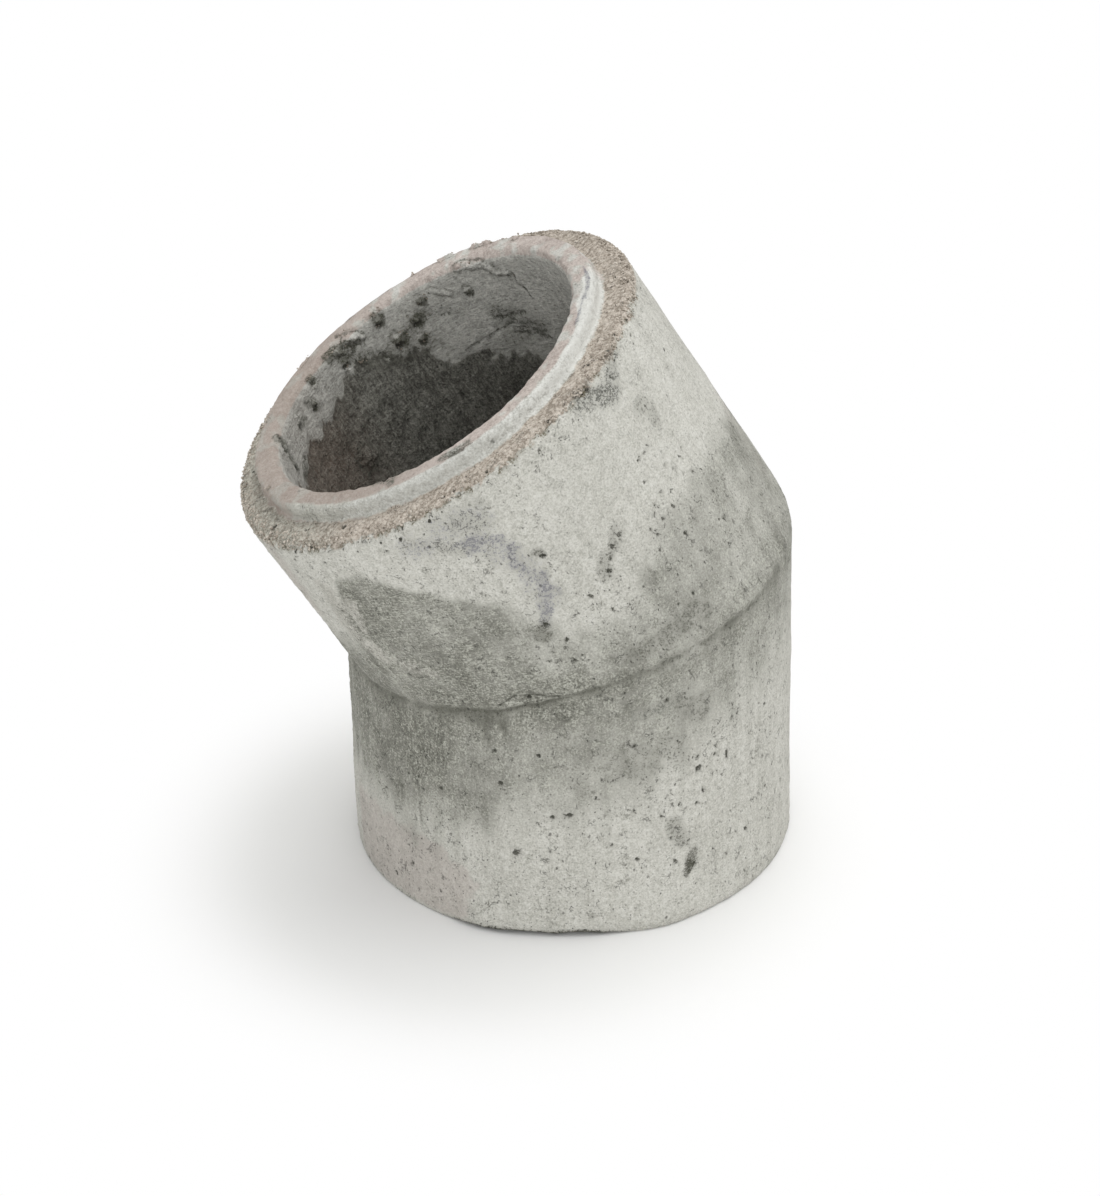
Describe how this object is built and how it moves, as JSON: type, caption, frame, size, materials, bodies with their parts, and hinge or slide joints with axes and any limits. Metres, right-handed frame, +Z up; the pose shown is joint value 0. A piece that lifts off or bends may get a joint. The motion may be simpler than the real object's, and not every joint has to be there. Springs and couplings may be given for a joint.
{
  "type": "flue liner bend",
  "caption": "Cast pumice-concrete chimney flue liner that turns its round bore at a mitre, with a low spigot on the leaning head and a rebated socket in the foot rim.",
  "frame": {"origin": "centre of the foot rim, in the plane it stands on", "axes": "+Z up the lower leg's axis; the bend lies in the XZ plane, the head leans towards -X and the heel is on the +X side"},
  "size_m": [0.3263, 0.268, 0.3756],
  "materials": {
    "pumice_concrete": "matte"
  },
  "bodies": {
    "root": {"flue_bend": "pumice_concrete"}
  },
  "joints": []
}
